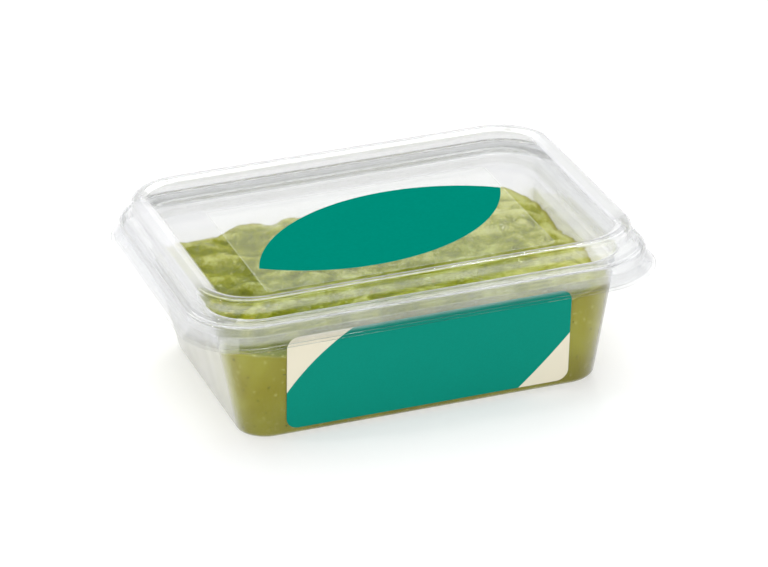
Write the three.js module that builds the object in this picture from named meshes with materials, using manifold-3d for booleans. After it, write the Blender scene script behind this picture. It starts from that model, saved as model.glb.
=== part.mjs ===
// A clear rectangular deli tub filled with guacamole, shut by its clear pressed-on lid,
// with a film label on the lid and a paper label on the front wall.
// Millimetres, +Z up. The tub stands on z = 0 with the origin under its middle.
// +X runs along the long side and -Y is the labelled front.

import * as THREE from 'three';
import { ImprovedNoise } from 'three/addons/math/ImprovedNoise.js';
import { mergeVertices } from 'three/addons/utils/BufferGeometryUtils.js';
import Module from 'manifold-3d';

const wasm = await Module();
wasm.setup();

// Driving dimensions. An inset is measured inwards from the lid's lip, on every side alike.
const pack = { length: 200, width: 154, height: 68, lipCorner: 29, cornerEase: 0.68, cornerSteps: 8 };
const lid = {
  wall: 0.5,
  lipZ: 50.3,              // lowest edge of the flared lip
  footInset: 3.9,          // where the lip meets the snap ring
  footZ: 54.8,
  ringInset: 3.7,          // upright wall of the snap ring
  ledgeZ: 59.0,
  ledgeFillet: 1.4,
  ledgeInset: 6.2,         // inner end of the ledge
  domeInset: 7.3,          // foot of the dome wall
  domeRise: 0.8,
  creaseInset: 8.7,        // the dome wall turns steeper here
  creaseZ: 63.0,
  shoulderInset: 9.0,
  shoulderFillet: 1.6,
  beadInset: 12.4,         // inner end of the raised bead round the top
  panelInset: 14.6,
  panelZ: 67.0
};
const tub = {
  wall: 0.6,
  baseInset: 24.1,         // outer wall carried down to z = 0
  baseFillet: 3.2,
  rimInset: 13.8,          // outer wall carried up to the rim
  rimZ: 58.2,
  mouthFillet: 2.0,
  skirtInset: 5.35,        // inside of the rim's turned-down skirt
  skirtEase: 0.6,          // cut-off corner between rim and skirt
  skirtFootZ: 54.2,
  lipInset: 2.1,           // underside of the flared lip's edge
  lipZ: 50.4
};
const fill = {
  gap: 0.3,                // to the tub's inside
  level: 43.6,             // mean height of the surface
  cell: 3.4,               // spacing of the surface's grid
  tilt: 1.0,               // rise towards the right end
  moundSize: 46,
  moundHeight: 3.4,
  foldSize: 21,
  foldStretch: 1.7,        // the folds are longer than wide
  foldSlant: 0.6,
  foldHeight: 3.6,
  foldMean: 0.62,
  bendSize: 38,
  bendReach: 9,            // how far the folds wander
  lumpSize: 8.5,
  lumpHeight: 1.5,
  edgeWidth: 13,           // width of the border that sinks to the wall
  edgeDrop: 2.6
};
const lidLabel = { left: -65.8, right: 54.6, front: -59.6, back: 25.6, corner: 1.5, thick: 0.15, gap: 0.1 };
const frontLabel = { left: -59.2, right: 60.6, low: 3.4, high: 46.4, corner: 5, thick: 0.2, gap: 0.2 };

const clearPlastic = { color: 0xe9efec, roughness: 0.06, metalness: 0, transparent: true, opacity: 0.35 };
const guacamoleLook = { color: 0x9c9a45, roughness: 0.42, metalness: 0 };
const filmLook = { color: 0x078c79, roughness: 0.3, metalness: 0 };
const paperLook = { color: 0x0a8d7b, roughness: 0.45, metalness: 0 };

function arc(centreInset, centreZ, radius, fromDegrees, toDegrees, steps) {
  const points = [];
  for (let i = 0; i <= steps; i++) {
    const angle = THREE.MathUtils.degToRad(fromDegrees + ((toDegrees - fromDegrees) * i) / steps);
    points.push({ inset: centreInset + radius * Math.cos(angle), z: centreZ + radius * Math.sin(angle) });
  }
  return points;
}

function cornerRadius(inset) {
  return pack.lipCorner - pack.cornerEase * inset;
}

// Moves an open section sideways by a constant distance. The shift is kept with each point,
// so that the corner seen from above can shrink or grow by the same amount.
function offsetSection(section, distance) {
  const normals = [];
  for (let i = 0; i + 1 < section.length; i++) {
    const across = section[i + 1].inset - section[i].inset;
    const up = section[i + 1].z - section[i].z;
    const length = Math.hypot(across, up);
    normals.push([-up / length, across / length]);
  }
  return section.map((point, i) => {
    const before = normals[Math.max(i - 1, 0)];
    const after = normals[Math.min(i, normals.length - 1)];
    const sum = [before[0] + after[0], before[1] + after[1]];
    const scale = (2 * distance) / (sum[0] ** 2 + sum[1] ** 2);
    return { inset: point.inset + scale * sum[0], z: point.z + scale * sum[1], shift: scale * sum[0] };
  });
}

// One level of the pack: a rounded rectangle at the point's inset and height.
function ring({ inset, z, shift = 0 }) {
  const radius = cornerRadius(inset - shift) - shift;
  const reachX = pack.length / 2 - inset - radius;
  const reachY = pack.width / 2 - inset - radius;
  const points = [];
  for (let corner = 0; corner < 4; corner++) {
    const centreX = corner === 0 || corner === 3 ? reachX : -reachX;
    const centreY = corner < 2 ? reachY : -reachY;
    for (let i = 0; i <= pack.cornerSteps; i++) {
      const angle = ((corner + i / pack.cornerSteps) * Math.PI) / 2;
      points.push(centreX + radius * Math.cos(angle), centreY + radius * Math.sin(angle), z);
    }
  }
  return points;
}

// Skins a list of levels and closes the first and the last one with a flat face.
function loft(section) {
  const around = 4 * (pack.cornerSteps + 1);
  const position = section.flatMap(ring);
  const index = [];
  for (let level = 0; level + 1 < section.length; level++) {
    for (let i = 0; i < around; i++) {
      const a = level * around + i;
      const b = level * around + ((i + 1) % around);
      index.push(a, b, b + around, a, b + around, a + around);
    }
  }
  for (const [level, forward] of [[0, false], [section.length - 1, true]]) {
    const centre = position.length / 3;
    position.push(0, 0, section[level].z);
    for (let i = 0; i < around; i++) {
      const a = level * around + i;
      const b = level * around + ((i + 1) % around);
      index.push(centre, forward ? a : b, forward ? b : a);
    }
  }
  const geometry = new THREE.BufferGeometry();
  geometry.setAttribute('position', new THREE.Float32BufferAttribute(position, 3));
  geometry.setIndex(index);
  return geometry;
}

function toSolid(geometry) {
  const bare = geometry.clone();
  bare.deleteAttribute('normal');
  bare.deleteAttribute('uv');
  const merged = mergeVertices(bare, 1e-4);
  return new wasm.Manifold(new wasm.Mesh({
    numProp: 3,
    vertProperties: new Float32Array(merged.attributes.position.array),
    triVerts: new Uint32Array(merged.index.array)
  }));
}

function toGeometry(solid) {
  const mesh = solid.getMesh();
  const geometry = new THREE.BufferGeometry();
  geometry.setAttribute('position', new THREE.BufferAttribute(new Float32Array(mesh.vertProperties), 3));
  geometry.setIndex(new THREE.BufferAttribute(new Uint32Array(mesh.triVerts), 1));
  return geometry;
}

// The tub's outside from the edge of the flat base up to the rim.
function tubWallSection() {
  const lean = Math.atan2(tub.baseInset - tub.rimInset, tub.rimZ);
  const tangentRise = tub.baseFillet * (1 - Math.sin(lean));
  const wallInset = tub.baseInset - tangentRise * Math.tan(lean);
  const centreInset = wallInset + tub.baseFillet * Math.cos(lean);
  const fillet = arc(centreInset, tub.baseFillet, tub.baseFillet, 270, 180 + THREE.MathUtils.radToDeg(lean), 5);
  const under = tub.mouthFillet + tub.wall;
  const turnZ = tub.rimZ - under;
  const turnInset = tub.baseInset - turnZ * Math.tan(lean);
  return { lean, section: [...fillet, { inset: turnInset, z: turnZ }] };
}

function makeTub() {
  const { lean, section } = tubWallSection();
  const turn = section[section.length - 1];
  const underZ = tub.rimZ - tub.wall;
  const turnDegrees = THREE.MathUtils.radToDeg(-lean);
  const mouth = arc(turn.inset - tub.mouthFillet, turn.z, tub.mouthFillet, turnDegrees, 90, 4).slice(1);
  const outside = [
    ...section,
    ...mouth,
    { inset: tub.skirtInset + tub.skirtEase, z: underZ },
    { inset: tub.skirtInset, z: underZ - tub.skirtEase },
    { inset: tub.skirtInset, z: tub.skirtFootZ },
    { inset: tub.lipInset, z: tub.lipZ }
  ];
  const inside = offsetSection(outside, -tub.wall).reverse();
  return loft([...outside, ...inside]);
}

function makeLid() {
  const ledgeCentre = { inset: lid.ringInset + lid.ledgeFillet, z: lid.ledgeZ - lid.ledgeFillet };
  const shoulderCentre = {
    inset: lid.shoulderInset + lid.shoulderFillet,
    z: pack.height - lid.shoulderFillet
  };
  const outside = [
    { inset: 0, z: lid.lipZ },
    { inset: lid.footInset, z: lid.footZ },
    ...arc(ledgeCentre.inset, ledgeCentre.z, lid.ledgeFillet, 180, 90, 3),
    { inset: lid.ledgeInset, z: lid.ledgeZ },
    { inset: lid.domeInset, z: lid.ledgeZ + lid.domeRise },
    { inset: lid.creaseInset, z: lid.creaseZ },
    ...arc(shoulderCentre.inset, shoulderCentre.z, lid.shoulderFillet, 180, 90, 4),
    { inset: lid.beadInset, z: pack.height },
    { inset: lid.panelInset, z: lid.panelZ }
  ];
  const inside = offsetSection(outside, -lid.wall);
  return loft([...outside.reverse(), ...inside].reverse());
}

// Each layer of the relief reads its own slice of one fixed noise field.
const noise = new ImprovedNoise();
const slice = { bendX: 3.7, bendY: 8.2, mound: 1.4, fold: 5.1, lump: 2.3 };

function wave(x, y, size, layer) {
  return noise.noise(x / size, y / size, slice[layer]);
}

function fillHeight(x, y) {
  const bentX = x + fill.bendReach * wave(x, y, fill.bendSize, 'bendX');
  const bentY = y + fill.bendReach * wave(x, y, fill.bendSize, 'bendY');
  const alongFold = (bentX + fill.foldSlant * bentY) / fill.foldStretch;
  const ridge = 1 - 2 * Math.abs(wave(alongFold, bentY, fill.foldSize, 'fold'));
  const fold = fill.foldHeight * (ridge - fill.foldMean);
  const mound = fill.moundHeight * wave(x, y, fill.moundSize, 'mound');
  const lump = fill.lumpHeight * wave(bentX, bentY, fill.lumpSize, 'lump');
  const wallInset = tub.baseInset - (fill.level / tub.rimZ) * (tub.baseInset - tub.rimInset);
  const edge = Math.min(pack.length / 2 - wallInset - Math.abs(x), pack.width / 2 - wallInset - Math.abs(y));
  const sink = fill.edgeDrop * (1 - THREE.MathUtils.smoothstep(edge, 0, fill.edgeWidth));
  const tilt = fill.tilt * (x / (pack.length / 2));
  return fill.level + tilt + mound + fold + lump - sink;
}

// A block with the uneven surface as its top, wider than the tub's inside.
function makeSurfaceBlock() {
  const geometry = new THREE.PlaneGeometry(
    pack.length,
    pack.width,
    Math.round(pack.length / fill.cell),
    Math.round(pack.width / fill.cell)
  );
  const columns = geometry.parameters.widthSegments + 1;
  const rows = geometry.parameters.heightSegments + 1;
  const grid = geometry.attributes.position;
  const position = [];
  const index = [...geometry.index.array];
  const border = [];
  for (let i = 0; i < grid.count; i++) {
    position.push(grid.getX(i), grid.getY(i), fillHeight(grid.getX(i), grid.getY(i)));
  }
  for (let i = 0; i < columns; i++) border.push(i);
  for (let j = 1; j < rows; j++) border.push(j * columns + columns - 1);
  for (let i = columns - 2; i >= 0; i--) border.push((rows - 1) * columns + i);
  for (let j = rows - 2; j > 0; j--) border.push(j * columns);
  const below = grid.count;
  for (const top of border) position.push(grid.getX(top), grid.getY(top), 0);
  const centre = position.length / 3;
  position.push(0, 0, 0);
  border.forEach((top, i) => {
    const next = (i + 1) % border.length;
    index.push(top, border[next], below + i, border[next], below + next, below + i);
    index.push(centre, below + i, below + next);
  });
  const block = new THREE.BufferGeometry();
  block.setAttribute('position', new THREE.Float32BufferAttribute(position, 3));
  block.setIndex(index);
  return block;
}

function makeGuacamole() {
  const hollow = offsetSection(tubWallSection().section, -(tub.wall + fill.gap));
  return toGeometry(toSolid(loft(hollow)).intersect(toSolid(makeSurfaceBlock())));
}

function roundedPlate(left, right, low, high, corner, thick) {
  const shape = new THREE.Shape();
  shape.moveTo(left + corner, low);
  shape.lineTo(right - corner, low);
  shape.absarc(right - corner, low + corner, corner, -Math.PI / 2, 0);
  shape.lineTo(right, high - corner);
  shape.absarc(right - corner, high - corner, corner, 0, Math.PI / 2);
  shape.lineTo(left + corner, high);
  shape.absarc(left + corner, high - corner, corner, Math.PI / 2, Math.PI);
  shape.lineTo(left, low + corner);
  shape.absarc(left + corner, low + corner, corner, Math.PI, 1.5 * Math.PI);
  return new THREE.ExtrudeGeometry(shape, { depth: thick, bevelEnabled: false, curveSegments: 6 });
}

function makeLidLabel() {
  const { left, right, front, back, corner, thick } = lidLabel;
  return roundedPlate(left, right, front, back, corner, thick);
}

// The front label's own Y runs up the sloping wall.
function makeFrontLabel(lean) {
  const { left, right, low, high, corner, thick } = frontLabel;
  return roundedPlate(left, right, low / Math.cos(lean), high / Math.cos(lean), corner, thick);
}

function piece(name, geometry, look) {
  const mesh = new THREE.Mesh(geometry, new THREE.MeshStandardMaterial(look));
  mesh.name = name;
  return mesh;
}

const part = new THREE.Group();
const { lean } = tubWallSection();

part.add(piece('tub', makeTub(), clearPlastic));
part.add(piece('guacamole', makeGuacamole(), guacamoleLook));
part.add(piece('lid', makeLid(), clearPlastic));

const lidFilm = piece('lid_label', makeLidLabel(), filmLook);
lidFilm.position.z = lid.panelZ + lidLabel.gap;
part.add(lidFilm);

// The wall leans outwards, so the label turns past upright and faces slightly down.
const frontPaper = piece('front_label', makeFrontLabel(lean), paperLook);
frontPaper.rotation.x = Math.PI / 2 + lean;
frontPaper.position.y = -(pack.width / 2 - tub.baseInset) - frontLabel.gap / Math.cos(lean);
part.add(frontPaper);

export default part;
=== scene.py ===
# A clear deli tub of guacamole under its pressed-on lid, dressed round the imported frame.
# Sizes are in millimetres and turn into metres where a mesh is made. -Y is the labelled front.

import math

import bmesh
import bpy
import numpy as np
from mathutils import Matrix, Vector, noise
from mathutils.bvhtree import BVHTree


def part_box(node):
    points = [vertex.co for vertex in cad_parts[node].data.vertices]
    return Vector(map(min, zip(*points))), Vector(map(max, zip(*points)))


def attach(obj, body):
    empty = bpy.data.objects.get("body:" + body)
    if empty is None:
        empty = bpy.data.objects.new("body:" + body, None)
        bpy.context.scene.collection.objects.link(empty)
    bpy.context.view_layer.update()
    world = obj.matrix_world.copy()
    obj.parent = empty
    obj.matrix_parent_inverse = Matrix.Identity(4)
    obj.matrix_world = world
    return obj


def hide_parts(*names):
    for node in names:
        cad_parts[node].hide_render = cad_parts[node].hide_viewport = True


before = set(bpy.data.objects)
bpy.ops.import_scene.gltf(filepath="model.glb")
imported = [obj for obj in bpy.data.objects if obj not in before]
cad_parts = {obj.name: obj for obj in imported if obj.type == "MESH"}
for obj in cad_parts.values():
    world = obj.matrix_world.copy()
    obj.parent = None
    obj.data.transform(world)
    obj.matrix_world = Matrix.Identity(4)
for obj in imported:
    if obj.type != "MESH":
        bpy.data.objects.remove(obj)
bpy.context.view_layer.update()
mm = 0.001
scene = bpy.context.scene


class Wire:
    # An output socket that can stand in a sum, so that 1 - mask adds its Math node.
    def __init__(self, bench, socket):
        self.bench = bench
        self.socket = socket

    def __add__(self, other):
        return self.bench.math("ADD", self, other)

    __radd__ = __add__

    def __sub__(self, other):
        return self.bench.math("SUBTRACT", self, other)

    def __rsub__(self, other):
        return self.bench.math("SUBTRACT", other, self)

    def __mul__(self, other):
        return self.bench.math("MULTIPLY", self, other)

    __rmul__ = __mul__

    def __truediv__(self, other):
        return self.bench.math("DIVIDE", self, other)

    def __lt__(self, other):
        return self.bench.math("LESS_THAN", self, other)

    def __gt__(self, other):
        return self.bench.math("GREATER_THAN", self, other)


class Bench:
    # A node tree that is filled by one method: settings first, then values or wires.
    def __init__(self, tree):
        self.tree = tree

    def node(self, kind, settings=None, inputs=None, output=0):
        made = self.tree.nodes.new(kind)
        for name, value in (settings or {}).items():
            if name == "stops":
                self.setStops(made.color_ramp, value)
            else:
                setattr(made, name, value)
        for name, value in (inputs or {}).items():
            self.plug(self.findSocket(made.inputs, name), value)
        return Wire(self, self.findSocket(made.outputs, output))

    def findSocket(self, sockets, name):
        if isinstance(name, int):
            return sockets[name]
        return next(socket for socket in sockets if socket.name == name and socket.enabled)

    def plug(self, socket, value):
        if isinstance(value, Wire):
            self.tree.links.new(value.socket, socket)
        else:
            socket.default_value = value

    def setStops(self, ramp, stops):
        while len(ramp.elements) > 1:
            ramp.elements.remove(ramp.elements[-1])
        ramp.elements[0].position, ramp.elements[0].color = stops[0]
        for position, colour in stops[1:]:
            ramp.elements.new(position).color = colour

    def math(self, operation, first, second=0.0):
        return self.node("ShaderNodeMath", {"operation": operation}, {0: first, 1: second})

    def clampRange(self, value, low, high, newLow=0.0, newHigh=1.0):
        ends = {"From Min": low, "From Max": high, "To Min": newLow, "To Max": newHigh}
        settings = {"interpolation_type": "SMOOTHSTEP"}
        return self.node("ShaderNodeMapRange", settings, {"Value": value, **ends})

    def window(self, value, low, lowFull, highFull, high):
        # 1 between the two inner values, fading to 0 at the outer ones.
        return self.clampRange(value, low, lowFull) * self.clampRange(value, high, highFull)

    def axis(self, vector, name):
        return self.node("ShaderNodeSeparateXYZ", None, {"Vector": vector}, name)

    def cloud(self, vector, size, detail, distortion=0.0):
        # A soft pattern whose clumps are about as wide as the size, in millimetres.
        values = {"Vector": vector, "Scale": 1 / (size * mm), "Detail": detail}
        return self.node("ShaderNodeTexNoise", None, {**values, "Distortion": distortion}, "Fac")

    def bump(self, height, distance, strength=1.0):
        values = {"Strength": strength, "Distance": distance * mm, "Height": height}
        return self.node("ShaderNodeBump", None, values)

    def attribute(self, name):
        return self.node("ShaderNodeAttribute", {"attribute_name": name}, None, "Fac")

    def passingRays(self):
        # 1 for shadow and diffuse rays, which go through clear things unbent.
        shadow = self.node("ShaderNodeLightPath", None, None, "Is Shadow Ray")
        diffuse = self.node("ShaderNodeLightPath", None, None, "Is Diffuse Ray")
        return self.math("MAXIMUM", shadow, diffuse)

    def mixColour(self, factor, first, second, blend="MIX"):
        settings = {"data_type": "RGBA", "blend_type": blend}
        inputs = {"Factor": factor, "A": first, "B": second}
        return self.node("ShaderNodeMix", settings, inputs, "Result")

    def mixShader(self, factor, first, second):
        return self.node("ShaderNodeMixShader", None, {0: factor, 1: first, 2: second})


def linear(red, green, blue):
    # An sRGB colour of 0 to 255 as the linear one that shaders take.
    def channel(value):
        share = value / 255
        return share / 12.92 if share <= 0.04045 else ((share + 0.055) / 1.055) ** 2.4
    return (channel(red), channel(green), channel(blue), 1.0)


def pointingFrom(azimuth, elevation):
    # The direction out to a place, in degrees, with the azimuth measured from the front.
    azimuth = math.radians(azimuth)
    elevation = math.radians(elevation)
    level = math.cos(elevation)
    return Vector((math.sin(azimuth) * level, -math.cos(azimuth) * level, math.sin(elevation)))


# Camera of the photograph: 768 x 567, a long lens slightly above and left of the front.
camera = {
    "azimuth": -17.654,
    "elevation": 24.220,
    "roll": -2.3125,
    "distance": 1775.85,
    "asideMm": 1.103,
    "upMm": 31.244,
    "lens": 201.16,
    "sensor": 36.0,
    "clipEnd": 50,
}


def makeCamera():
    azimuth = math.radians(camera["azimuth"])
    back = pointingFrom(camera["azimuth"], camera["elevation"])
    right = Vector((math.cos(azimuth), math.sin(azimuth), 0))
    up = back.cross(right)
    data = bpy.data.cameras.new("camera")
    data.lens = camera["lens"]
    data.sensor_width = camera["sensor"]
    data.clip_end = camera["clipEnd"]
    seen = bpy.data.objects.new("camera", data)
    place = back * camera["distance"] + right * camera["asideMm"] + up * camera["upMm"]
    turn = Matrix((right, up, back)).transposed().to_4x4()
    roll = Matrix.Rotation(math.radians(camera["roll"]), 4, "Z")
    seen.matrix_world = Matrix.Translation(place * mm) @ turn @ roll
    scene.collection.objects.link(seen)
    scene.camera = seen


makeCamera()
print("camera ready")


def newMaterial(name):
    material = bpy.data.materials.new(name)
    material.use_nodes = True
    material.node_tree.nodes.clear()
    return material, Bench(material.node_tree)


def finishMaterial(bench, shader):
    output = bench.tree.nodes.new("ShaderNodeOutputMaterial")
    bench.tree.links.new(shader.socket, output.inputs["Surface"])


# Studio: a faintly lit white table, a bright horizon under a dark ceiling, and soft lamps.
studio = {
    "tableRadius": 6.0,
    "tableSides": 96,
    "tableShade": 0.5,
    "tableGlow": 0.53,
    "horizonShade": 1.0,
    "ceilingShade": 0.05,
    "horizonTop": 17,        # degrees above the horizon where the bright band starts to fade
    "ceilingFrom": 21.5,
    "lamps": {        # azimuth, elevation, distance, width, height and watts
        "overhead": (170, 80, 1.5, 1.3, 1.1, 13),
        "back": (165, 46, 1.7, 2.0, 0.7, 12),
        "front": (-15, 38, 1.8, 1.8, 0.55, 11),
        "left": (-62, 57, 1.6, 0.6, 0.45, 1.8),
        "spark": (-100, 50, 1.5, 0.14, 0.14, 2.5),
        "glint": (150, 48, 1.6, 0.12, 0.12, 3),
    },
    "bounces": 24,
    "clearBounces": 20,
}


def makeLamp(name, azimuth, elevation, distance, width, height, watts):
    data = bpy.data.lights.new(name, "AREA")
    data.shape = "RECTANGLE"
    data.size = width
    data.size_y = height
    data.energy = watts
    away = pointingFrom(azimuth, elevation)
    held = bpy.data.objects.new(name, data)
    held.location = away * distance
    held.rotation_euler = away.to_track_quat("Z", "Y").to_euler()
    scene.collection.objects.link(held)


def makeStudio():
    world = bpy.data.worlds.new("studio")
    scene.world = world
    world.use_nodes = True
    world.node_tree.nodes.clear()
    bench = Bench(world.node_tree)
    towards = bench.node("ShaderNodeTexCoord", None, None, "Generated")
    height = bench.axis(towards, "Z")
    low = math.sin(math.radians(studio["horizonTop"]))
    high = math.sin(math.radians(studio["ceilingFrom"]))
    shade = bench.clampRange(height, low, high, studio["horizonShade"], studio["ceilingShade"])
    sky = bench.node("ShaderNodeBackground", None, {"Color": shade})
    ending = world.node_tree.nodes.new("ShaderNodeOutputWorld")
    world.node_tree.links.new(sky.socket, ending.inputs["Surface"])
    for name, lamp in studio["lamps"].items():
        makeLamp(name, *lamp)
    mesh = bpy.data.meshes.new("table")
    builder = bmesh.new()
    bmesh.ops.create_circle(builder, cap_ends=True, radius=studio["tableRadius"],
                            segments=studio["tableSides"])
    builder.to_mesh(mesh)
    builder.free()
    table = bpy.data.objects.new("table", mesh)
    scene.collection.objects.link(table)
    material, bench = newMaterial("paleTable")
    shade = studio["tableShade"]
    matt = bench.node("ShaderNodeBsdfDiffuse", None, {"Color": (shade, shade, shade, 1)})
    glow = bench.node("ShaderNodeEmission", None, {"Strength": studio["tableGlow"]})
    finishMaterial(bench, bench.node("ShaderNodeAddShader", None, {0: matt, 1: glow}))
    mesh.materials.append(material)
    scene.view_settings.view_transform = "Standard"
    scene.cycles.max_bounces = studio["bounces"]
    scene.cycles.transmission_bounces = studio["clearBounces"]
    scene.cycles.transparent_max_bounces = studio["bounces"]


makeStudio()
print("studio ready")

# The pack's driving sizes. An inset is measured inwards from the lid's lip, on every side alike.
pack = {"length": 200, "width": 154, "lipCorner": 29, "cornerEase": 0.68}
lid = {
    "wall": 0.5,
    "lipZ": 50.3,
    "foot": (3.9, 54.8, 0.9),        # inset, height and bend radius where lip and closing ring meet
    "ring": (3.7, 59.0, 1.4),
    "ledge": (6.2, 59.0, 1.1),
    "domeFoot": (7.3, 59.8, 1.1),
    "crease": (8.7, 63.0, 2.2),
    "shoulder": (9.0, 68.0, 1.6),
    "bead": (12.4, 68.0, 1.3),
    "panel": (14.6, 67.0, 1.3),
}
tub = {
    "wall": 0.6,
    "baseInset": 24.1,
    "baseFillet": 3.2,
    "rimInset": 13.8,
    "rimZ": 58.2,
    "mouthFillet": 2.0,
    "skirtInset": 5.35,
    "skirtFillet": 0.9,
    "skirtFootZ": 54.2,
    "footFillet": 1.0,
    "lip": (2.1, 50.4),
}
shell = {
    "cornerSteps": 22,
    "bendStep": 9.0,        # degrees per step of a bend
    "flatRings": (1.5, 6.0),
    "axisShares": (0.0, 0.5),
    "mergeMm": 0.01,
    "sharpDegrees": 42,
}
wallLean = math.atan2(tub["baseInset"] - tub["rimInset"], tub["rimZ"])


def roundBends(points):
    # (inset, z, radius) corners become a polyline whose bends are true arcs.
    line = [points[0][:2]]
    for before, here, after in zip(points, points[1:], points[2:]):
        radius = here[2]
        corner = Vector(here[:2])
        arriving = (corner - Vector(before[:2])).normalized()
        leaving = (Vector(after[:2]) - corner).normalized()
        turn = arriving.angle(leaving)
        reach = radius * math.tan(turn / 2)
        inwards = (leaving - arriving).normalized()
        centre = corner + inwards * (radius / math.cos(turn / 2))
        steps = max(2, math.ceil(math.degrees(turn) / shell["bendStep"]))
        start = corner - arriving * reach - centre
        side = 1 if arriving.cross(leaving) > 0 else -1
        for step in range(steps + 1):
            angle = side * turn * step / steps
            line.append((
                centre.x + start.x * math.cos(angle) - start.y * math.sin(angle),
                centre.y + start.x * math.sin(angle) + start.y * math.cos(angle),
            ))
    line.append(points[-1][:2])
    return line


def offsetLine(line, distance):
    # Moves a polyline sideways. Its shift is kept, as it also eases the corners seen from above.
    normals = []
    for (insetA, zA), (insetB, zB) in zip(line, line[1:]):
        length = math.hypot(insetB - insetA, zB - zA)
        normals.append(Vector((-(zB - zA) / length, (insetB - insetA) / length)))
    moved = []
    for i, (inset, z) in enumerate(line):
        total = normals[max(i - 1, 0)] + normals[min(i, len(normals) - 1)]
        step = total * (2 * distance / total.length_squared)
        moved.append((inset + step.x, z + step.y, step.x))
    return moved


def tubWallPoints():
    underZ = tub["rimZ"] - tub["wall"]
    mouthInset = tub["baseInset"] - underZ * math.tan(wallLean)
    return [
        (pack["width"] / 4 + tub["baseInset"], 0, 0),
        (tub["baseInset"], 0, tub["baseFillet"]),
        (mouthInset, underZ, tub["mouthFillet"]),
        (tub["skirtInset"], underZ, tub["skirtFillet"]),
        (tub["skirtInset"], tub["skirtFootZ"], tub["footFillet"]),
        tub["lip"],
    ]


def lidPoints():
    corners = ["panel", "bead", "shoulder", "crease", "domeFoot", "ledge", "ring", "foot"]
    start = (pack["width"] / 4 + lid["panel"][0], lid["panel"][1], 0)
    return [start, *[lid[corner] for corner in corners], (0, lid["lipZ"])]


def closedSection(points, wall):
    # Out along one face from the axis to the lip and back along the other, one wall away.
    line = roundBends(points)[1:]
    flats = [(line[0][0] + extra, line[0][1]) for extra in reversed(shell["flatRings"])]
    line = flats + line
    section = [(inset, z, 0.0, 1.0) for inset, z in line]
    back = [(inset, z, shift, 1.0) for inset, z, shift in offsetLine(line, wall)]
    start = [(*section[0][:3], share) for share in shell["axisShares"]]
    end = [(*back[0][:3], share) for share in reversed(shell["axisShares"])]
    return [*start, *section, *reversed(back), *end]


def nodeTree(name, inputs):
    tree = bpy.data.node_groups.new(name, "GeometryNodeTree")
    tree.interface.new_socket(name="Geometry", in_out="INPUT", socket_type="NodeSocketGeometry")
    for label, kind in inputs.items():
        tree.interface.new_socket(name=label, in_out="INPUT", socket_type="NodeSocket" + kind)
    tree.interface.new_socket(name="Geometry", in_out="OUTPUT", socket_type="NodeSocketGeometry")
    bench = Bench(tree)
    source = tree.nodes.new("NodeGroupInput")
    given = {socket.name: Wire(bench, socket) for socket in source.outputs if socket.name}
    return tree, bench, given


def endTree(bench, geometry, material):
    real = bench.node("GeometryNodeRealizeInstances", None, {"Geometry": geometry})
    dressed = bench.node("GeometryNodeSetMaterial", None, {"Geometry": real, "Material": material})
    output = bench.tree.nodes.new("NodeGroupOutput")
    bench.tree.links.new(dressed.socket, output.inputs[0])


def shellTree():
    # Sweeps a section round a rounded rectangle whose corner shrinks with the inset.
    tree, bench, given = nodeTree("roundedShell", {
        "Length": "Float", "Width": "Float", "Corner Radius": "Float", "Corner Ease": "Float",
        "Corner Steps": "Int", "Merge Distance": "Float", "Sharp Angle": "Float",
        "Material": "Material",
    })
    levels = bench.node("GeometryNodeAttributeDomainSize", {"component": "MESH"},
                        {"Geometry": given["Geometry"]}, "Point Count")
    perCorner = given["Corner Steps"] + 1
    around = perCorner * 4
    grid = bench.node("GeometryNodeMeshGrid", None,
                      {"Vertices X": levels, "Vertices Y": around + 1}, "Mesh")
    index = bench.node("GeometryNodeInputIndex", None, None, "Index")
    level = bench.math("FLOOR", index / (around + 1))
    step = bench.math("MODULO", bench.math("MODULO", index, around + 1), around)

    def ofLevel(name):
        kind = {"data_type": "FLOAT"}
        value = bench.node("GeometryNodeInputNamedAttribute", kind, {"Name": name}, "Attribute")
        settings = {"data_type": "FLOAT", "domain": "POINT"}
        inputs = {"Geometry": given["Geometry"], "Value": value, "Index": level}
        return bench.node("GeometryNodeSampleIndex", settings, inputs, "Value")

    inset, height, shift, gather = (ofLevel(name) for name in ("inset", "height", "shift", "gather"))
    radius = given["Corner Radius"] - given["Corner Ease"] * (inset - shift) - shift
    corner = bench.math("FLOOR", step / perCorner)
    quarter = math.pi / 2
    angle = (corner + bench.math("MODULO", step, perCorner) / given["Corner Steps"]) * quarter
    middle = (corner + 0.5) * quarter
    signX = bench.math("SIGN", bench.math("COSINE", middle))
    signY = bench.math("SIGN", bench.math("SINE", middle))
    x = signX * (given["Length"] / 2 - inset - radius) + radius * bench.math("COSINE", angle)
    y = signY * (given["Width"] / 2 - inset - radius) + radius * bench.math("SINE", angle)
    place = bench.node("ShaderNodeCombineXYZ", None, {"X": x * gather, "Y": y * gather, "Z": height})
    shaped = bench.node("GeometryNodeSetPosition", None, {"Geometry": grid, "Position": place})
    closed = bench.node("GeometryNodeMergeByDistance", None,
                        {"Geometry": shaped, "Distance": given["Merge Distance"]})
    smooth = bench.node("GeometryNodeSetShadeSmooth", {"domain": "FACE"},
                        {"Geometry": closed, "Shade Smooth": True})
    angleHere = bench.node("GeometryNodeInputMeshEdgeAngle", None, None, "Unsigned Angle")
    creased = bench.node("GeometryNodeSetShadeSmooth", {"domain": "EDGE"}, {
        "Geometry": smooth, "Selection": angleHere > given["Sharp Angle"], "Shade Smooth": False})
    endTree(bench, creased, given["Material"])
    return tree


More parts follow.
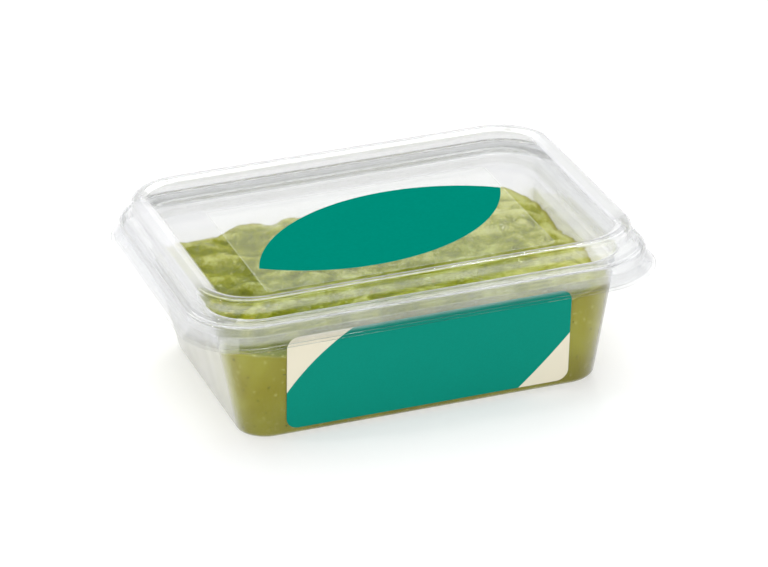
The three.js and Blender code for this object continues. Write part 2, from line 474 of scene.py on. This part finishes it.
def growPiece(name, mesh, tree, inputs):
    # Runs a node tree on a mesh and keeps the result as a plain mesh.
    piece = bpy.data.objects.new(name, mesh)
    modifier = piece.modifiers.new("shape", "NODES")
    modifier.node_group = tree
    for item in tree.interface.items_tree:
        if item.item_type == "SOCKET" and item.in_out == "INPUT" and item.name in inputs:
            modifier[item.identifier] = inputs[item.name]
    scene.collection.objects.link(piece)
    depsgraph = bpy.context.evaluated_depsgraph_get()
    grown = bpy.data.meshes.new_from_object(
        piece.evaluated_get(depsgraph), preserve_all_data_layers=True, depsgraph=depsgraph)
    piece.modifiers.remove(modifier)
    piece.data = grown
    grown.name = name
    return piece


def pointOutwards(piece):
    builder = bmesh.new()
    builder.from_mesh(piece.data)
    if builder.calc_volume(signed=True) < 0:
        bmesh.ops.reverse_faces(builder, faces=builder.faces)
        builder.to_mesh(piece.data)
    builder.free()


roundedShell = shellTree()


def makeShell(name, points, wall, material):
    section = closedSection(points, wall)
    mesh = bpy.data.meshes.new(name + "Section")
    mesh.from_pydata([(0, 0, z * mm) for _, z, _, _ in section], [], [])
    columns = {
        "inset": [inset * mm for inset, _, _, _ in section],
        "height": [z * mm for _, z, _, _ in section],
        "shift": [shift * mm for _, _, shift, _ in section],
        "gather": [gather for _, _, _, gather in section],
    }
    for label, values in columns.items():
        mesh.attributes.new(label, "FLOAT", "POINT").data.foreach_set("value", values)
    piece = growPiece(name, mesh, roundedShell, {
        "Length": pack["length"] * mm,
        "Width": pack["width"] * mm,
        "Corner Radius": pack["lipCorner"] * mm,
        "Corner Ease": pack["cornerEase"],
        "Corner Steps": shell["cornerSteps"],
        "Merge Distance": shell["mergeMm"] * mm,
        "Sharp Angle": math.radians(shell["sharpDegrees"]),
        "Material": material,
    })
    pointOutwards(piece)
    return piece


# Clear thermoformed plastic: sharp gloss, a faint ripple of the sheet, and light passes through it.
# Its body bends light less than real sheet does, so that the walls stay as quiet as in the photo.
plastic = {
    "ior": 1.37,
    "contactIor": 1.52,
    "milkBands": (        # four heights that fade the milkiness in and out, and its share
        (51.6, 52.8, 54.5, 55.5, 0.1),
        (54.5, 56.0, 58.5, 59.2, 0.05),
        (62.0, 63.5, 65.0, 66.5, 0.12),
    ),
    "edgeMilk": 0.75,
    "panelZ": (66.1, 66.4, 67.1, 67.3),        # the flat top is never milky
    "cutEdgeZ": 50.5,        # nor is the sheet's cut edge
    "cutEdgeFade": (0.5, 1.2),
    # Painted shade: from here up the rim, ledge and bead get a darker tint of the plastic, off on the
    # dome's walls and top.
    "rimFromZ": (47.5, 49.5),        # rim, ledge and bead are darker than walls and top
    "domeZ": (59.5, 60.5, 67.2, 67.8),
    "endMilk": 0.42,        # the lid's two end walls are milky in their middle
    "endFrom": (83.2, 84.6),
    "endReach": (60, 38),
    "endFromZ": (60, 63),
    "contactFade": 2,
    "roughness": 0.035,
    "tint": (0.985, 0.988, 0.988, 1),
    "shadedRimTint": (0.93, 0.935, 0.94, 1),
    "edgeTint": (0.72, 0.725, 0.735, 1),
    "milk": (0.82, 0.82, 0.84, 1),
    "passTint": (0.97, 0.975, 0.972, 1),
    "rippleSize": 26,
    "rippleDepth": 0.05,
    "rippleMilk": (0.3, 0.7, 0.85, 1.15),        # a range of the ripple, and the milkiness at its ends
    "grainSize": 2.2,
    "grainRange": (0.45, 0.8),
    "roughnessSpread": 0.03,
}


def makePlastic(name, milkyEnds=False, endContact=None):
    material, bench = newMaterial(name)
    place = bench.node("ShaderNodeTexCoord", None, None, "Object")
    absX = bench.math("ABSOLUTE", bench.axis(place, "X") / mm)
    absY = bench.math("ABSOLUTE", bench.axis(place, "Y") / mm)
    z = bench.axis(place, "Z") / mm
    ripple = bench.cloud(place, plastic["rippleSize"], detail=1.0)
    scuff = bench.cloud(place, plastic["grainSize"], detail=3.0)
    uneven = bench.bump(ripple, plastic["rippleDepth"])
    smoothest = plastic["roughness"]
    roughest = smoothest + plastic["roughnessSpread"]
    rough = bench.clampRange(scuff, *plastic["grainRange"], smoothest, roughest)
    # Painted shade: a darker tint on rim, ledge and bead, faded out over the dome's walls and top.
    drawn = bench.clampRange(z, *plastic["rimFromZ"]) * (1 - bench.window(z, *plastic["domeZ"]))
    facing = bench.node("ShaderNodeLayerWeight", None, None, "Facing")
    alongIt = facing * facing * facing
    tint = bench.mixColour(drawn, plastic["tint"], plastic["shadedRimTint"])
    tint = bench.mixColour(alongIt, tint, plastic["edgeTint"])
    glass = bench.node("ShaderNodeBsdfPrincipled", None, {
        "Base Color": tint, "Transmission Weight": 1.0, "IOR": plastic["ior"],
        "Roughness": rough, "Normal": uneven})
    if endContact:
        # In the photo the paste is a hair off the end walls, so their inner face mirrors as well.
        fresnel = bench.node("ShaderNodeFresnel", None,
                             {"IOR": plastic["contactIor"], "Normal": uneven})
        gloss = bench.node("ShaderNodeBsdfAnisotropic", None,
                           {"Color": (1, 1, 1, 1), "Roughness": smoothest})
        atEnd = bench.clampRange(absX - z * math.tan(wallLean), endContact["fromX"], endContact["toX"])
        below = bench.clampRange(z, endContact["topZ"], endContact["topZ"] - plastic["contactFade"])
        share = fresnel / (1 + fresnel) * atEnd * below
        glass = bench.mixShader(share, glass, gloss)
    # Where the sheet was drawn out it is faintly milky, most so when looked along.
    milk = bench.node("ShaderNodeBsdfDiffuse", None, {"Color": plastic["milk"]})
    offCut = bench.clampRange(bench.math("ABSOLUTE", z - plastic["cutEdgeZ"]), *plastic["cutEdgeFade"])
    milky = alongIt * plastic["edgeMilk"] * offCut
    for *band, most in plastic["milkBands"]:
        milky = milky + bench.window(z, *band) * most
    milky = milky * bench.clampRange(ripple, *plastic["rippleMilk"])
    milky = milky * (1 - bench.window(z, *plastic["panelZ"]))
    if milkyEnds:
        atEnd = bench.clampRange(absX, *plastic["endFrom"]) * bench.clampRange(z, *plastic["endFromZ"])
        atEnd = atEnd * bench.clampRange(absY, *plastic["endReach"])
        milky = bench.math("MAXIMUM", milky, atEnd * plastic["endMilk"])
    glass = bench.mixShader(milky, glass, milk)
    through = bench.node("ShaderNodeBsdfTransparent", None, {"Color": plastic["passTint"]})
    finishMaterial(bench, bench.mixShader(bench.passingRays(), glass, through))
    return material


def dress(piece, slot, *nodes):
    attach(piece, "root")
    if nodes:
        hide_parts(*nodes)


lidPlastic = makePlastic("lidPlastic", milkyEnds=True)
tubPlastic = makePlastic("tubPlastic", endContact={"fromX": 73.2, "toX": 75.4, "topZ": 46})
dress(makeShell("clearLid", lidPoints(), lid["wall"], lidPlastic), "clear_plastic", "lid")
dress(makeShell("clearTub", tubWallPoints(), -tub["wall"], tubPlastic), "clear_plastic", "tub")
print("lid and tub ready")

# The fill: the frame's own form, drawn finely, reaching just into the plastic.
fill = {
    "intoWall": 0.25,
    "longSide": 168,
    "shortSide": 112,
    "cornerSteps": 12,
    "baseRings": 10,
    "wallRings": 24,
    "topRings": 84,
    "openRings": 4,
    "gridMm": 1.2,
    "gridMargin": 1.001,
    "weldMm": 0.001,
    "castFromMm": 10,
    "blurPasses": 2,
    "surfaceNormalZ": 0.3,        # what counts as the fill's surface: this level, in the upper half
    "surfaceFrom": 0.5,
    "seed": 3,
    "warpSize": 15,
    "warpReach": 3.2,
    "foldSize": 11,
    "foldStretch": 0.8,
    "foldHeight": 1.0,
    "foldGain": 2.4,
    "foldMean": 0.55,
    "lumpSize": 3.8,
    "lumpHeight": 0.5,
    "grainSize": 1.9,
    "grainHeight": 0.12,
    "layers": (11, 40, 70),        # where folds, lumps and grain are cut from the noise
    "pitCell": 6.0,
    "pitWidth": 0.8,
    "pitDepth": 0.6,
    "pitShare": 0.3,
    "pitDraw": 7.3,
    "calmX": (-20, 45, 56, 70),        # between these the spoon has smoothed the surface more
    "calmShare": 0.4,
    # Over these rings from the wall the painted rim shade fades out.
    "rimRings": 18,
    "overFillet": 1.0,        # how far above the base's bend the rings of the wall take over
    "settleRounds": 3,
    "hubShare": 0.02,
    "mergeMm": 0.02,
    "sliverMm": 0.005,
}


def ringDirections():
    # Each point of a ring: its share of the way to a corner's centre, and its outward direction.
    spots = []
    for corner in range(4):
        signX = 1 if corner in (0, 3) else -1
        signY = 1 if corner < 2 else -1
        for step in range(fill["cornerSteps"] + 1):
            angle = (corner + step / fill["cornerSteps"]) * math.pi / 2
            spots.append((signX, signY, math.cos(angle), math.sin(angle)))
        side = fill["longSide"] if corner in (0, 2) else fill["shortSide"]
        angle = (corner + 1) * math.pi / 2
        for step in range(1, side):
            share = 1 - 2 * step / side
            shareX = signX * share if corner in (0, 2) else signX
            shareY = signY if corner in (0, 2) else signY * share
            spots.append((shareX, shareY, math.cos(angle), math.sin(angle)))
    return np.array(spots).T


def ringAt(spots, inset, shift):
    shareX, shareY, outX, outY = spots
    radius = pack["lipCorner"] - pack["cornerEase"] * (inset - shift) - shift
    reachX = pack["length"] / 2 - inset - radius
    reachY = pack["width"] / 2 - inset - radius
    return shareX * reachX + radius * outX, shareY * reachY + radius * outY


def frameHeights(node):
    # The height of the CAD fill's surface on a fine grid, in millimetres.
    builder = bmesh.new()
    builder.from_mesh(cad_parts[node].data)
    bmesh.ops.remove_doubles(builder, verts=builder.verts, dist=fill["weldMm"] * mm)
    tree = BVHTree.FromBMesh(builder)
    builder.free()
    low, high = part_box(node)
    step = fill["gridMm"]
    columns = int((high.x - low.x) / mm / step) + 2
    rows = int((high.y - low.y) / mm / step) + 2
    castZ = high.z + fill["castFromMm"] * mm
    heights = np.full((columns, rows), np.nan)
    for i in range(columns):
        for j in range(rows):
            start = Vector((low.x + i * step * mm, low.y + j * step * mm, castZ))
            hit, normal, _, _ = tree.ray_cast(start, Vector((0, 0, -1)))
            if hit and normal.z > fill["surfaceNormalZ"] and hit.z > fill["surfaceFrom"] * high.z:
                heights[i, j] = hit.z / mm
    # Spots that the rays missed are filled from their neighbours, ring by ring.
    while np.isnan(heights).any():
        padded = np.pad(heights, 1, constant_values=np.nan)
        around = np.stack([padded[a:a + columns, b:b + rows] for a in range(3) for b in range(3)])
        known = ~np.isnan(around)
        filled = np.where(known, around, 0).sum(0) / np.maximum(known.sum(0), 1)
        heights = np.where(np.isnan(heights) & known.any(0), filled, heights)
    for _ in range(fill["blurPasses"]):
        padded = np.pad(heights, 1, mode="edge")
        heights = sum(padded[a:a + columns, b:b + rows] for a in range(3) for b in range(3)) / 9
    return heights, low.x / mm, low.y / mm


def lookUp(heights, lowX, lowY, x, y):
    # Reads the grid between its points, a hair inside its last row.
    lastI, lastJ = np.array(heights.shape) - fill["gridMargin"]
    i = np.clip((x - lowX) / fill["gridMm"], 0, lastI)
    j = np.clip((y - lowY) / fill["gridMm"], 0, lastJ)
    i0, j0 = i.astype(int), j.astype(int)
    u, v = i - i0, j - j0
    nearRow = heights[i0, j0] * (1 - u) + heights[i0 + 1, j0] * u
    farRow = heights[i0, j0 + 1] * (1 - u) + heights[i0 + 1, j0 + 1] * u
    return nearRow * (1 - v) + farRow * v


def fineRelief(x, y):
    # Spooned folds, soft lumps, a fine grain and small air pits, in millimetres.
    relief = np.zeros_like(x)
    foldLayer, lumpLayer, grainLayer = fill["layers"]
    for i, (px, py) in enumerate(zip(x, y)):
        warp = noise.noise_vector(Vector((px, py, 0)) / fill["warpSize"]) * fill["warpReach"]
        bent = Vector((px + warp.x, py + warp.y, 0))
        fold = noise.noise(Vector((bent.x * fill["foldStretch"], bent.y, foldLayer)) / fill["foldSize"])
        lump = noise.noise(Vector((bent.x, bent.y, lumpLayer)) / fill["lumpSize"])
        grain = noise.noise(Vector((px, py, grainLayer)) / fill["grainSize"])
        total = fill["foldHeight"] * (fill["foldGain"] * abs(fold) - fill["foldMean"])
        total = total + fill["lumpHeight"] * lump + fill["grainHeight"] * grain
        distances, centres = noise.voronoi(Vector((px, py, 0)) / fill["pitCell"])
        if noise.cell(centres[0] * fill["pitDraw"]) > 1 - 2 * fill["pitShare"]:
            reach = distances[0] * fill["pitCell"] / fill["pitWidth"]
            total -= fill["pitDepth"] * max(0.0, 1 - reach * reach)
        calm = np.interp(px, fill["calmX"], (0.0, 1.0, 1.0, 0.0))
        relief[i] = total * (1 - fill["calmShare"] * calm)
    return relief


def joinRings(name, rings, tints, material):
    # Joins each ring to the next, closes the first and welds what falls together.
    count = len(rings[0])
    verts = np.concatenate(rings)
    faces = []
    for level in range(len(rings) - 1):
        for i in range(count):
            a = level * count + i
            b = level * count + (i + 1) % count
            faces.append((a, b, b + count, a + count))
    faces.append(tuple(reversed(range(count))))
    mesh = bpy.data.meshes.new(name)
    mesh.from_pydata((verts * mm).tolist(), [], faces)
    for label, values in tints.items():
        mesh.attributes.new(label, "FLOAT", "POINT").data.foreach_set("value", np.concatenate(values))
    builder = bmesh.new()
    builder.from_mesh(mesh)
    bmesh.ops.remove_doubles(builder, verts=builder.verts, dist=fill["mergeMm"] * mm)
    bmesh.ops.dissolve_degenerate(builder, edges=builder.edges, dist=fill["sliverMm"] * mm)
    bmesh.ops.triangulate(builder, faces=[face for face in builder.faces if len(face.verts) > 4])
    bmesh.ops.recalc_face_normals(builder, faces=builder.faces)
    builder.to_mesh(mesh)
    builder.free()
    mesh.shade_smooth()
    mesh.materials.append(material)
    piece = bpy.data.objects.new(name, mesh)
    scene.collection.objects.link(piece)
    return piece


def makeGuacamole(material):
    # Without a seed the warp of the folds would follow the clock.
    noise.seed_set(fill["seed"])
    spots = ringDirections()
    heights, lowX, lowY = frameHeights("guacamole")
    line = roundBends(tubWallPoints()[:4])[1:]
    depth = tub["wall"] - fill["intoWall"]
    bendTop = tub["baseFillet"] + fill["overFillet"]
    bottomLine = [point for point in offsetLine(line, -depth) if point[1] < bendTop]
    rings = []
    tints = {"open": [], "crest": [], "rim": []}

    def addRing(x, y, z, isOpen=0.0, crest=0.0, rim=1.0):
        rings.append(np.stack([x, y, np.broadcast_to(z, x.shape)], axis=1))
        for name, value in (("open", isOpen), ("crest", crest), ("rim", rim)):
            tints[name].append(np.broadcast_to(value, x.shape))

    firstX, firstY = ringAt(spots, bottomLine[0][0], bottomLine[0][2])
    for ring in range(fill["baseRings"]):
        share = (ring + fill["hubShare"]) / fill["baseRings"]
        addRing(firstX * share, firstY * share, bottomLine[0][1])
    for inset, z, shift in bottomLine:
        x, y = ringAt(spots, inset, shift)
        addRing(x, y, z)

    def wallAt(z):
        inset = tub["baseInset"] + depth / math.cos(wallLean) - z * math.tan(wallLean)
        return ringAt(spots, inset, depth * math.cos(wallLean))

    edgeZ = np.full(spots.shape[1], float(np.median(heights)))
    for _ in range(fill["settleRounds"]):
        x, y = wallAt(edgeZ)
        edgeZ = lookUp(heights, lowX, lowY, x, y)
    edgeZ = edgeZ + fineRelief(x, y)
    startZ = bottomLine[-1][1]
    for ring in range(1, fill["wallRings"] + 1):
        z = startZ + (edgeZ - startZ) * ring / fill["wallRings"]
        x, y = wallAt(z)
        addRing(x, y, z)
    # From the edge the rings of the surface close in on a line along the middle.
    edgeX, edgeY = x, y
    spine = pack["length"] / 2 - pack["width"] / 2
    for ring in range(1, fill["topRings"] + 1):
        share = ring / fill["topRings"]
        x = edgeX + (spots[0] * spine - edgeX) * share
        y = edgeY * (1 - share)
        relief = fineRelief(x, y)
        isOpen = min(1.0, ring / fill["openRings"])
        # The rim value sets how much painted shade a ring gets near the wall.
        rim = max(0.0, 1 - ring / fill["rimRings"])
        z = lookUp(heights, lowX, lowY, x, y) + relief
        # The crest value carries the painted light and shade of the relief.
        addRing(x, y, z, isOpen, relief / fill["foldHeight"], rim)
    return joinRings("guacamolePaste", rings, tints, material)


# Avocado mash: mottled and glossy on its open surface, smeared against the plastic walls.
paste = {
    "cream": linear(204, 205, 116),
    "middle": linear(153, 156, 22),
    "olive": linear(112, 118, 0),
    "wallPale": linear(162, 160, 56),
    "wallDark": linear(136, 129, 6),
    "amber": linear(186, 150, 20),
    "poreColour": linear(84, 84, 12),
    "wallChip": linear(178, 172, 88),
    "mottle": (8, 4.0, 0.6),        # size, detail and distortion of a cloud
    "streak": (20, 2.0, 1.0),
    "smear": (20, 3.0, 0.4),
    "grain": (1.3, 3.0),
    "streakDrawn": 0.45,
    "mottleShare": 0.45,
    "streakShare": 0.25,
    "grainShare": 0.3,
    # Painted light and shade: relief crests are coloured paler and hollows darker.
    "crestLightAndShade": 0.12,
    "toneRange": (0.31, 0.69),
    "grainRange": (0.3, 0.7),
    "smearRange": (0.3, 0.8),
    "paleTowardsRight": 0.04,
    # Painted shade: the open surface is darker along its edge against the wall.
    "rimShade": 0.38,
    "palerFromX": (52, 82),        # the darker rim fades out towards the right and the back
    "palerFromY": (0, 45),
    "palerReach": 1.2,
    "palerWallX": (-52, -82),
    "palerWall": 0.15,
    "wobbleSize": 1.6,
    "wobbleReach": 3.0,
    "fleck": (6.5, 1.1, 0.35),        # cell and width of a spot, and the share of cells that have one
    "pore": (4.0, 0.8, 0.5),
    "chip": (3.6, 0.95, 0.7),
    "spotCore": 0.4,
    "fleckStrength": 0.7,
    "chipStrength": 0.6,
    "wallChipStrength": 0.7,
    "poreStrength": 0.8,
    # Painted shade: the paste along the walls is darker towards the bottom.
    "lowZ": (0.0, 26.0),
    "lowShade": (0.74, 0.73, 0.7, 1),
    "bumpMm": 0.75,
    "wallBump": 0.05,
    "subsurface": 0.3,
    "subsurfaceMm": 0.9,
    "subsurfaceColours": (1.0, 0.9, 0.3),
    "specular": 0.05,
    "roughness": (0.4, 0.65),
    "wetFrom": (0.35, 0.6),
    "wetCoat": (0.15, 0.6),
    "wetRoughness": 0.1,
}


def makePaste():
    material, bench = newMaterial("guacamolePaste")
    place = bench.node("ShaderNodeTexCoord", None, None, "Object")
    drawn = bench.node("ShaderNodeMapping", None,
                       {"Vector": place, "Scale": (1, 1, paste["streakDrawn"])})
    # Noise about zero bends the cells that the spots sit in.
    noisy = {"Vector": place, "Scale": 1 / (paste["wobbleSize"] * mm), "Detail": 1.0}
    wobble = bench.node("ShaderNodeTexNoise", None, noisy, "Color")
    wobble = bench.node("ShaderNodeVectorMath", {"operation": "SUBTRACT"},
                        {0: wobble, 1: (0.5, 0.5, 0.5)})
    bent = bench.node("ShaderNodeVectorMath", {"operation": "MULTIPLY_ADD"}, {
        0: wobble, 1: (paste["wobbleReach"] * mm,) * 3, 2: place})

    def spots(cell, width, share):
        # Uneven spots of one size in a share of the cells.
        scale = {"Vector": bent, "Scale": 1 / (cell * mm)}
        near = bench.node("ShaderNodeTexVoronoi", None, scale, "Distance")
        tone = bench.node("ShaderNodeTexVoronoi", None, scale, "Color")
        chance = bench.node("ShaderNodeSeparateColor", None, {"Color": tone}, "Red")
        outer = width / cell
        return bench.clampRange(near, outer, paste["spotCore"] * outer) * (chance < share)

    isOpen = bench.attribute("open")
    mottle = bench.cloud(place, *paste["mottle"])
    streak = bench.cloud(place, *paste["streak"])
    smear = bench.cloud(drawn, *paste["smear"])
    grain = bench.cloud(place, *paste["grain"])
    x = bench.axis(place, "X") / mm
    y = bench.axis(place, "Y") / mm
    z = bench.axis(place, "Z") / mm
    # Painted shade along the paste's edge at the wall, fading out towards the right and the back.
    paler = bench.math("MAXIMUM", bench.clampRange(x, *paste["palerFromX"]),
                       bench.clampRange(y, *paste["palerFromY"]))
    rim = bench.attribute("rim") * paste["rimShade"] * (1 - paler * paste["palerReach"])
    tone = mottle * paste["mottleShare"] + streak * paste["streakShare"] + grain * paste["grainShare"]
    # Painted light and shade: crests of the relief paler, hollows darker, less the painted rim shade.
    tone = tone + bench.attribute("crest") * paste["crestLightAndShade"] - rim
    tone = tone + x * (paste["paleTowardsRight"] / (pack["length"] / 2))
    tones = [(0.0, paste["olive"]), (0.5, paste["middle"]), (1.0, paste["cream"])]
    top = bench.node("ShaderNodeValToRGB", {"stops": tones},
                     {"Fac": bench.clampRange(tone, *paste["toneRange"])}, "Color")
    chips = spots(*paste["chip"])
    top = bench.mixColour(spots(*paste["fleck"]) * paste["fleckStrength"], top, paste["amber"])
    top = bench.mixColour(chips * paste["chipStrength"], top, paste["cream"])
    smear = smear + bench.clampRange(x, *paste["palerWallX"]) * paste["palerWall"]
    smeared = bench.clampRange(smear, *paste["smearRange"])
    side = bench.mixColour(smeared, paste["wallDark"], paste["wallPale"])
    side = bench.mixColour(chips * paste["wallChipStrength"], side, paste["wallChip"])
    side = bench.mixColour(spots(*paste["pore"]) * paste["poreStrength"], side, paste["poreColour"])
    # Painted shade: the wall side of the paste darkens towards the bottom.
    low = bench.mixColour(bench.clampRange(z, *paste["lowZ"]), paste["lowShade"], (1, 1, 1, 1))
    side = bench.mixColour(1.0, side, low, "MULTIPLY")
    relief = grain * (isOpen * (1 - paste["wallBump"]) + paste["wallBump"])
    body = bench.node("ShaderNodeBsdfPrincipled", None, {
        "Base Color": bench.mixColour(isOpen, side, top),
        "Roughness": bench.clampRange(grain, *paste["grainRange"], *paste["roughness"]),
        "Normal": bench.bump(relief, paste["bumpMm"]),
        "Specular IOR Level": paste["specular"],
        "Subsurface Weight": paste["subsurface"],
        "Subsurface Radius": paste["subsurfaceColours"],
        "Subsurface Scale": paste["subsurfaceMm"] * mm,
        "Coat Weight": isOpen * bench.clampRange(streak, *paste["wetFrom"], *paste["wetCoat"]),
        "Coat Roughness": paste["wetRoughness"],
    })
    finishMaterial(bench, body)
    return material


dress(makeGuacamole(makePaste()), "guacamole", "guacamole")
print("guacamole ready")

# Labels: fields of colour whose edges are arcs given by their ends and their rise.
prints = {
    "paperTeal": linear(0, 141, 122),
    "paperTealDeep": linear(0, 137, 118),
    "filmTeal": linear(0, 125, 108),
    "filmTealDeep": linear(0, 121, 104),
    "cream": linear(234, 227, 205),
    "leafTips": ((-62.1, -36.7), (53.6, 2.1)),
    "leafRise": 32.0,
    "upperArc": ((-58.5, 21.7), (-31.9, 46.5), 1.8),
    "lowerArc": ((37.1, 1.4), (61.3, 26.9), 0.6),
    "inkRange": (0.3, 0.7),
    "inkRoughness": 0.5,
    "speckleSize": 10 / 9,
    "haze": 0.05,
    "hazeRange": (0.2, 0.8, 0.9, 1.1),
    "hazeShade": (0.98, 0.99, 0.96, 1),
    "filmX": (-65.8, 54.6),
    "filmY": (-59.6, 25.6),
    "edgeWidth": 0.22,
    "edgeHaze": 0.15,
    "passTint": (0.86, 0.9, 0.84, 1),
    "fibreSize": 2 / 3,
    "fibreBump": (0.05, 0.2),
    "paperSpecular": 0.06,
}


def arcCircle(start, end, rise):
    # The circle through two points whose arc rises to the left of the way from start to end.
    chord = Vector(end) - Vector(start)
    radius = (chord.length_squared / 4 + rise * rise) / (2 * rise)
    left = Vector((-chord.y, chord.x)).normalized()
    return (Vector(start) + Vector(end)) / 2 - left * (radius - rise), radius


def insideCircle(across, along, circle):
    centre, radius = circle
    offX = across - centre.x
    offY = along - centre.y
    return (offX * offX + offY * offY) < radius * radius


def nearEnds(bench, along, low, high):
    # 1 in a narrow band at both ends of the film.
    return bench.math("ABSOLUTE", along - (low + high) / 2) > (high - low) / 2 - prints["edgeWidth"]


def makeFilmPrint():
    material, bench = newMaterial("filmPrint")
    place = bench.node("ShaderNodeTexCoord", None, None, "Object")
    x = bench.axis(place, "X") / mm
    y = bench.axis(place, "Y") / mm
    low, high = prints["leafTips"]
    leaf = insideCircle(x, y, arcCircle(low, high, prints["leafRise"]))
    leaf = leaf * insideCircle(x, y, arcCircle(high, low, prints["leafRise"]))
    speckle = bench.cloud(place, prints["speckleSize"], detail=2.0)
    inked = bench.clampRange(speckle, *prints["inkRange"])
    printed = bench.node("ShaderNodeBsdfPrincipled", None, {
        "Base Color": bench.mixColour(inked, prints["filmTeal"], prints["filmTealDeep"]),
        "Roughness": prints["inkRoughness"],
        "Specular IOR Level": 0.0,
    })
    haze = bench.node("ShaderNodeBsdfDiffuse", None, {"Color": prints["hazeShade"]})
    clear = bench.node("ShaderNodeBsdfTransparent", None, {"Color": (1, 1, 1, 1)})
    atEdge = bench.math("MAXIMUM", nearEnds(bench, x, *prints["filmX"]),
                        nearEnds(bench, y, *prints["filmY"]))
    share = prints["haze"] * bench.clampRange(speckle, *prints["hazeRange"])
    film = bench.mixShader(share + atEdge * prints["edgeHaze"], clear, haze)
    # The ink is thin: it lets light through to the food below.
    lit = bench.node("ShaderNodeBsdfTransparent", None, {"Color": prints["passTint"]})
    seen = bench.mixShader(leaf, film, printed)
    finishMaterial(bench, bench.mixShader(bench.passingRays(), seen, lit))
    return material


def makePaperPrint():
    material, bench = newMaterial("paperPrint")
    place = bench.node("ShaderNodeTexCoord", None, None, "Object")
    x = bench.axis(place, "X") / mm
    z = bench.axis(place, "Z") / mm
    start, end, rise = prints["upperArc"]
    field = insideCircle(x, z, arcCircle(start, end, rise))
    start, end, rise = prints["lowerArc"]
    field = field * insideCircle(x, z, arcCircle(end, start, rise))
    fibre = bench.cloud(place, prints["fibreSize"], detail=4.0)
    inked = bench.clampRange(fibre, *prints["inkRange"])
    ink = bench.mixColour(inked, prints["paperTeal"], prints["paperTealDeep"])
    body = bench.node("ShaderNodeBsdfPrincipled", None, {
        "Base Color": bench.mixColour(field, prints["cream"], ink),
        "Roughness": prints["inkRoughness"],
        "Specular IOR Level": prints["paperSpecular"],
        "Normal": bench.bump(fibre, *prints["fibreBump"]),
    })
    finishMaterial(bench, body)
    return material


def repaint(node, material):
    # A CAD node whose shape is right keeps it and gets a finished surface.
    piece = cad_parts[node]
    piece.data.materials.clear()
    piece.data.materials.append(material)


repaint("lid_label", makeFilmPrint())
repaint("front_label", makePaperPrint())
print("labels ready")
